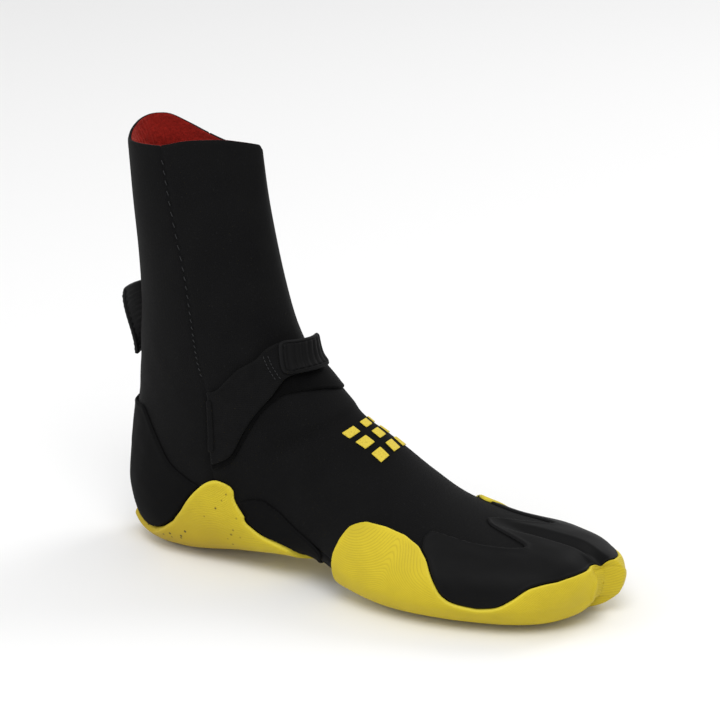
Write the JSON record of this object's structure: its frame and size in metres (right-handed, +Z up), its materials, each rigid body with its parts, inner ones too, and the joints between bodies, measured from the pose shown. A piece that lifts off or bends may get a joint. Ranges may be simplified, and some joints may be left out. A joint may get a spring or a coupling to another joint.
{
  "type": "neoprene boot",
  "caption": "Right split-toe neoprene surf boot with a moulded rubber cup sole, plush lining, ankle strap with a ribbed grip tab and a heel pull tab.",
  "frame": {"origin": "on the floor under the centre of the boot's bounding box", "axes": "+X to the toes, +Y to the inner (medial) side, +Z up the shaft"},
  "size_m": [0.283, 0.0976, 0.2295],
  "materials": {
    "neoprene": "matte knit face",
    "plush": "soft brushed plush",
    "foam": "matte closed-cell foam",
    "tape": "matte woven tape",
    "sole_rubber": "matte moulded rubber with fine ridges",
    "overlay_rubber": "smooth satin rubber film",
    "tab_rubber": "satin moulded rubber with ribs",
    "webbing": "matte elastic webbing",
    "hook_tape": "matte hook tape",
    "loop_tape": "soft brushed loop tape",
    "thread": "fine thread",
    "print_ink": "flat printed ink"
  },
  "bodies": {
    "boot": {"front_panel": "neoprene", "heel_panel": "neoprene", "sole_panel": "neoprene", "shaft_lining": "plush", "foot_lining": "plush", "footbed": "foam", "lateral_seam_tape": "tape", "medial_seam_tape": "tape", "outsole": "sole_rubber", "toe_overlay": "overlay_rubber", "heel_counter": "overlay_rubber", "arch_overlay_lateral": "overlay_rubber", "arch_overlay_medial": "overlay_rubber", "landing_strap": "webbing", "loop_patch": "loop_tape", "strap_anchor_lateral": "webbing", "strap_anchor_medial": "webbing", "lateral_seam_stitches": "thread", "medial_seam_stitches": "thread", "instep_print": "print_ink"},
    "strap": {"instep_strap": "webbing", "strap_grip_tab": "tab_rubber", "hook_patch": "hook_tape", "strap_stitches": "thread"},
    "pull_tab": {"heel_pull_tab": "tab_rubber"}
  },
  "joints": [
    {"name": "strap_peel", "type": "hinge", "parent": "boot", "child": "strap", "pos_m": [-0.0675, -0.0348, 0.0835], "axis": [0.1, -0.035, -0.9944], "range_deg": [0, 100]},
    {"name": "pull_tab_fold", "type": "hinge", "parent": "boot", "child": "pull_tab", "pos_m": [-0.1326, -0.00065, 0.1044], "axis": [0, -1, 0], "range_deg": [-6, 75]}
  ]
}
